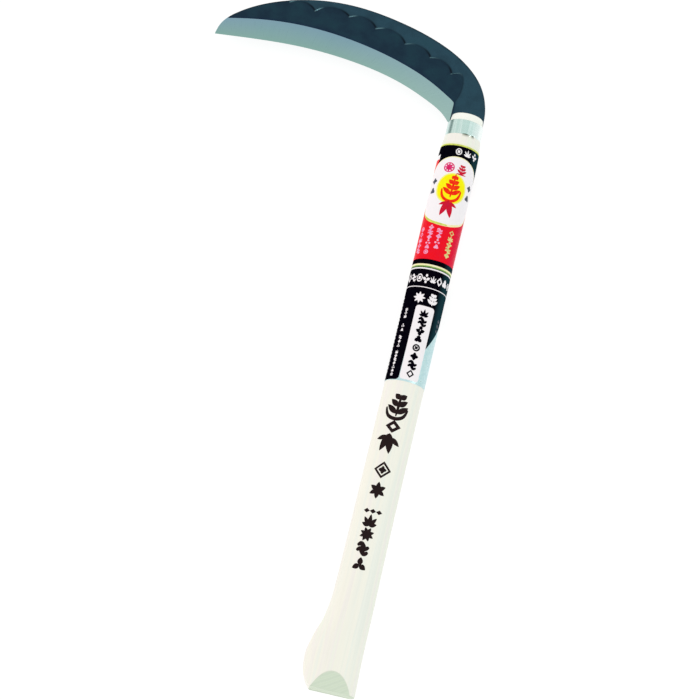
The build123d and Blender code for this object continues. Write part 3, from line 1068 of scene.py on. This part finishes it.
def small_mark(kind, x, y, size, weight=1.0):
    """One of eight plain ornaments, about size high."""
    kind, half = kind % 8, size / 2
    thin = size * 0.2 * weight
    if kind == 0:        # four petals
        return flower(x, y, size, 4, 0)
    if kind == 1:        # a flower in a ring
        return [*ring(x, y, half * 0.9, thin * 0.8), *flower(x, y, size * 0.5, 4, 45)]
    if kind == 2:        # a sprout between two dots
        leaves = [leaf(x, y - half * 0.3, half * 1.15, thin * 2.0, angle) for angle in (22, 158)]
        return leaves + [oval(x, y + half * up, thin, thin, 14) for up in (0.65, -0.75)]
    if kind == 3:        # three dots
        return [oval(x + half * dx, y + half * dy, thin, thin, 14)
                for dx, dy in ((0, 0.6), (-0.6, -0.4), (0.6, -0.4))]
    if kind == 4:        # an open lozenge
        return frame_of(x, y, (half * 0.95, half), (half * 0.5, half * 0.55))
    if kind == 5:        # two waves
        return [wave(x, y + half * up, half, thin * 1.6) for up in (0.45, -0.45)]
    if kind == 6:        # three petals
        return flower(x, y, size, 3, 90, 0.5)
    fan = ((20, 0.62), (55, 0.84), (90, 0.94), (125, 0.84), (160, 0.62))
    return [leaf(x, y - half * 0.8, size * reach, thin * 1.3, angle) for angle, reach in fan]


def narrowed(loops, x, factor):
    """The loops made narrower about the upright line at x."""
    return [(np.asarray(loop) - (x, 0)) * (factor, 1) + (x, 0) for loop in loops]


def column(x, y_top, y_bottom, size, gap, first=0):
    """Small ornaments one below the other."""
    count = max(1, round((y_top - y_bottom + gap) / (size + gap)))
    pitch = (y_top - y_bottom - size) / max(count - 1, 1)
    loops = []
    for k in range(count):
        loops += small_mark(first + k * 3, x, y_top - size / 2 - k * pitch, size)
    return loops


# ------------------------------------------------------------------ labels
seam_at = wrap_radius * (math.pi - math.asin(label_seam_x / label_half_width))
wrap_start, wrap_end = seam_at - 2 * math.pi * wrap_radius + label_seam_gap, seam_at - label_seam_gap


def band(low, high):
    """A stripe all the way round a label."""
    return panel(wrap_start, wrap_end, low, high)


def cartouche(grow, foot):
    """The outline of the white panel that is arched at its top and bulges at its foot."""
    half = [
        (0.0, 384.4 + grow), (6.0, 383.6 + grow), (10.9, 381.6 + grow), (15.7, 378.4 + grow),
        (19.0 + grow, 374.0), (21.0 + grow, 367.0), (21.5 + grow, 359.0), (21.0 + grow, 350.0),
        (19.0 + grow, 342.8), (15.7, 338.2 - foot), (10.9, 335.2 - foot), (6.0, 333.2 - foot),
        (0.0, 332.4 - foot),
    ]
    left = [(-x, y) for x, y in half[-2::-1]]
    return spline([*half, *left], (1.0, 0.0), (1.0, 0.0), 4)[:-1][::-1]


def upper_label_print():
    """Layers of print: ink, how many layers up it lies, loops."""
    foot, top = label_spans["label_upper"]
    art = [
        ("black", 1, [band(386.9, 393.8)]),
        ("black", 1, [panel(-15.3, 32.0, 364.0, 386.9)]),
        ("gold", 1, [band(393.8, top)]),
        ("red", 1, [band(304.1, 352.0)]),
        ("red", 1, [panel(wrap_start, -15.3, 352.0, 383.0)]),
        ("red", 1, [panel(32.0, wrap_end, 352.0, 383.0)]),
        ("cream", 2, [cartouche(0.7, 1.7)]),
        ("gold", 3, [stroke([(-17.0, 338.6), (-12.0, 334.6), (-5.0, 332.2), (3.0, 331.6)], 1.7)]),
        ("white", 3, [cartouche(0.0, 0.0)]),
        ("pale_yellow", 4, [oval(0, 359.8, 11.0, 12.2, 48)]),
        ("yellow", 5, [oval(0, 359.8, 10.0, 11.3, 48)]),
        ("black", 1, [band(300.4, 304.1)]),
        ("cream", 1, [band(299.1, 300.4)]),
        ("green", 1, [band(298.1, 299.1)]),
        ("black", 1, [band(foot, 298.1)]),
    ]
    for x, kind in ((-0.6, 1), (6.0, 7), (12.4, 2)):
        art.append(("white", 2, narrowed(small_mark(kind, x, 389.3, 5.8, 0.8), x, 0.86)))
    art += [
        ("magenta", 4, [*flower(-4.8, 376.0, 7.2, 8, 0, 0.2), *ring(-4.8, 376.0, 3.9, 0.8)]),
        ("crimson", 4, [*sprig(4.6, 372.0, 7.4, 4.4, 3, 1.2), leaf(0.8, 372.2, 7.6, 1.3, 0)]),
        ("orange", 6, sprig(0.4, 353.0, 18.6, 8.2, 4, 2.2, 0.8)),
        ("orange", 6, [stroke(
            [(-6.4, 359.0), (-4.6, 352.6), (0.2, 350.2), (5.2, 352.8), (7.2, 359.6)], 2.2
        )]),
        ("crimson", 6, [
            leaf(0.2, 350.8, 13.4, 4.0, 252), leaf(0.2, 350.8, 13.6, 4.2, 284),
            leaf(0.2, 349.4, 7.0, 2.4, 205), leaf(0.2, 349.4, 7.0, 2.4, 335),
        ]),
    ]
    for x in (-14.4, 14.4):
        art.append(("grey", 4, [*small_mark(0, x, 365.0, 5.2), *small_mark(6, x, 357.2, 5.4)]))
    for x, high, low, first in ((-15.0, 329.0, 308.4, 1), (-7.4, 330.4, 307.6, 2), (-0.9, 328.2, 312.2, 5)):
        art.append(("pink", 2, column(x, high, low, 3.8, 0.4, first)))
    art.append(("straw", 2, column(8.0, 329.4, 307.8, 4.3, 0.5, 4)))
    for k in range(5):
        art.append(("pink", 2, column(22.0 + 3.6 * k, 346.0 - k, 308.0, 2.6, 0.6, k)))
    art.append(("film", 2, [panel(-42.0, -24.0, 312.0, 378.0, 2.5)]))
    back = [*sprig(-33.0, 346.0, 24.0, 8.0, 4, 2.0), *column(-33.0, 342.0, 316.0, 5.0, 1.2, 3)]
    return [*art, ("crimson", 3, back)]


def lower_label_print():
    """Layers of print: ink, how many layers up it lies, loops."""
    low, high = label_spans["label_lower"]
    corner = np.radians(np.arange(-90, 1, 15))
    rounded = [(-8.0 + 2.6 * math.cos(k), low + 3.0 + 2.6 * math.sin(k)) for k in corner]
    black = [
        (wrap_start, high), (wrap_start, low + 0.4), *rounded, (-5.0, 240.0), (8.3, 238.6), (17.9, 255.7),
        (22.0, 262.0), (24.0, 264.5), (wrap_end, 264.5), (wrap_end, high),
    ]
    art = [
        ("black", 1, [np.array(black)]),
        ("white", 2, [band(high - 0.9, high)]),
        ("white", 2, [band(282.7, 283.3)]),
        ("white", 2, [panel(-5.0, 8.7, 214.6, 269.4, 2.2)]),
    ]
    for k, kind in enumerate((7, 2, 4, 5, 1, 2, 7, 4, 6, 1, 5)):
        x = -26.9 + 4.9 * k
        mark = small_mark(kind, x, 289.6, 6.8 if k % 3 else 5.6, 0.8)
        art.append(("white", 2, narrowed(mark, x, 0.72)))
    art.append(("white", 2, [*flower(-4.1, 275.0, 8.6, 8, 0, 0.2), *ring(-4.1, 275.0, 2.2, 0.8)]))
    art.append(("white", 2, sprig(5.6, 270.9, 8.4, 4.9, 3, 1.5)))
    for k, kind in enumerate((7, 5, 2, 6, 1, 0, 5, 4)):
        art.append(("black", 3, small_mark(kind, 1.8, 264.0 - 6.4 * k, 5.9, 1.15)))
    for k, (top, foot) in enumerate(((266.6, 259.0), (254.8, 248.8), (246.0, 237.2), (235.0, 216.0))):
        art.append(("white", 2, column(-12.0, top, foot, 2.6, 0.3, 1 + 2 * k)))
    art.append(("grey", 2, column(15.6, 264.0, 254.0, 2.6, 0.8, 2)))
    for k in range(6):
        art.append(("white", 2, column(-20.0 - 3.4 * k, 276.0, 219.0 + k, 1.9, 0.9, k)))
    return art


def on_label(loops, outer, inner):
    """A thin solid that follows the grip, between two distances from the wood."""
    return shell(*fill(loops), lambda p: on_grip(p, outer), lambda p: on_grip(p, inner))


def make_label(node_name, title, film_ink, art):
    """A wrap of film, and each ink as thin layers on it that make one piece."""
    film = on_label([band(*label_spans[node_name])], film_lift, film_gap)
    finish_piece(build(f"{title}_film", *film, [inks[film_ink]]), "label_film", node_name)
    layers = {}
    for ink, level, loops in art:
        lift = film_lift + ink_lift * level
        verts, faces = layers.setdefault(ink, ([], []))
        more, more_faces = on_label(loops, lift, lift - ink_depth)
        faces += [tuple(k + len(verts) for k in f) for f in more_faces]
        verts += list(more)
    for ink, (verts, faces) in layers.items():
        finish_piece(build(f"{title}_{ink}_print", verts, faces, [inks[ink]]), "label_film")


def make_wood_marks():
    """Plain ornaments burnt into the front of the grip below the labels."""
    marks = [
        *sprig(-1.2, 187.6, 15.6, 9.4, 3, 2.7, 0.9),
        stroke([(-9.0, 193.6), (-6.8, 187.8), (-1.8, 185.8), (3.6, 187.8), (6.2, 193.8)], 2.6),
        *frame_of(-1.2, 180.2, (5.4, 4.6), (2.1, 1.7)),
        leaf(-2.2, 175.2, 14.0, 5.0, 250), leaf(-2.2, 175.2, 14.6, 5.2, 278),
        leaf(-3.2, 173.0, 8.2, 3.3, 200), leaf(-1.0, 172.2, 8.4, 3.5, 325),
        *frame_of(-1.4, 149.2, (6.0, 6.0), (4.0, 4.0)),
        *flower(-1.4, 149.2, 5.8, 4, 0, 0.42),
        *flower(-1.6, 134.9, 11.8, 6, 30, 0.27),
        *(lozenge(-1.2 + 4.3 * k, 120.2, 2.2, 1.6) for k in (-1, 0, 1)),
        *small_mark(7, -1.7, 113.4, 8.8, 1.25),
        *flower(-1.7, 104.2, 10.0, 8, 22, 0.25),
        *small_mark(5, -2.2, 94.2, 7.8, 1.35),
        *flower(-1.8, 83.2, 10.4, 3, 90, 0.36),
    ]
    piece = build("burnt_marks", *on_label(marks, burn_lift, burn_lift - burn_depth), [burnt])
    return finish_piece(piece, "handle_wood")


make_blade()
make_handle()
make_ferrule()
make_label("label_upper", "upper_label", "film", upper_label_print())
make_label("label_lower", "lower_label", "foil", lower_label_print())
make_wood_marks()

steel = pin_steel()
for pin in pins:
    materials = frame["nodes"][pin].data.materials
    materials.clear()
    materials.append(steel)


# ------------------------------------------------------------------ floor, light and camera
def floor():
    """A pale floor that gives off some light of its own, so that the ground is white."""
    made, tree = start_material("pale_floor")
    tone = shades(tree, cloud(tree, 0.002, 2.0), 0.19, 0.21)
    surface(made, tone, 0.9, Emission_Color=(1, 1, 1, 1), Emission_Strength=0.87, Specular_IOR_Level=0.0)
    half, down = 4.0, cad_low.z - 0.0002
    corners = [(-half, -half, down), (half, -half, down), (half, half, down), (-half, half, down)]
    mesh = bpy.data.meshes.new("floor")
    mesh.from_pydata(corners, [], [(0, 1, 2, 3)])
    mesh.materials.append(made)
    plane = add_object("floor", mesh)


def lamp(name, place_at, aim, size, power, colour, gloss, diffuse):
    """A square area light. It can leave out reflections or soft light."""
    light = bpy.data.lights.new(name, "AREA")
    light.size = size
    light.energy = power
    light.color = colour
    made = add_object(name, light)
    made.location = place_at
    made.rotation_mode = "QUATERNION"
    made.rotation_quaternion = (Vector(aim) - Vector(place_at)).to_track_quat("-Z", "Y")
    made.visible_glossy = gloss
    made.visible_diffuse = diffuse


def world():
    """A white tent, a little warmer on the left and cooler and darker on the right."""
    made = bpy.data.worlds.new("studio")
    made.use_nodes = True
    tree = made.node_tree
    side = node(tree, "SeparateXYZ", {"Vector": node(tree, "TexCoord").outputs["Generated"]}).outputs["X"]
    tone = ramp(
        tree, maths(tree, "MULTIPLY_ADD", side, 0.5, 0.5),
        (0.0, (1.0, 0.985, 0.96)), (0.5, (0.97, 0.98, 0.97)), (1.0, (0.76, 0.86, 0.84)),
    )
    tree.links.new(tone, tree.nodes["Background"].inputs["Color"])
    tree.nodes["Background"].inputs["Strength"].default_value = 1.0
    bpy.context.scene.world = made


def camera():
    """Above the handle, looking down and a little toward the head, rolled to the picture's slant."""
    at = Vector((-0.0064, -0.1792, 1.1604))
    target = Vector((-0.0418, 0.2297, 0.0))
    roll = math.radians(14.0137)
    forward = (target - at).normalized()
    right = forward.cross(Vector((0, 1, 0))).normalized()
    up = right.cross(forward)
    level = right * math.cos(roll) + up * math.sin(roll)
    rise = up * math.cos(roll) - right * math.sin(roll)
    data = bpy.data.cameras.new("camera")
    data.sensor_width = 36.0
    data.lens = data.sensor_width * 18 / 7
    data.clip_start, data.clip_end = 0.05, 20
    made = add_object("camera", data)
    turn = Matrix((level, rise, -forward)).transposed().to_4x4()
    made.matrix_world = Matrix.Translation(at) @ turn
    bpy.context.scene.camera = made


floor()
world()
middle = (cad_low + cad_high) / 2
lamp("key", (-0.9, 0.5, 1.1), middle, 0.9, 0.6, (1.0, 0.98, 0.95), False, True)
lamp("glint", (0.58, 0.24, 0.78), (-0.05, 0.46, 0), 0.25, 3.0, (1, 1, 1), True, False)
camera()
bpy.context.scene.view_settings.view_transform = "Standard"
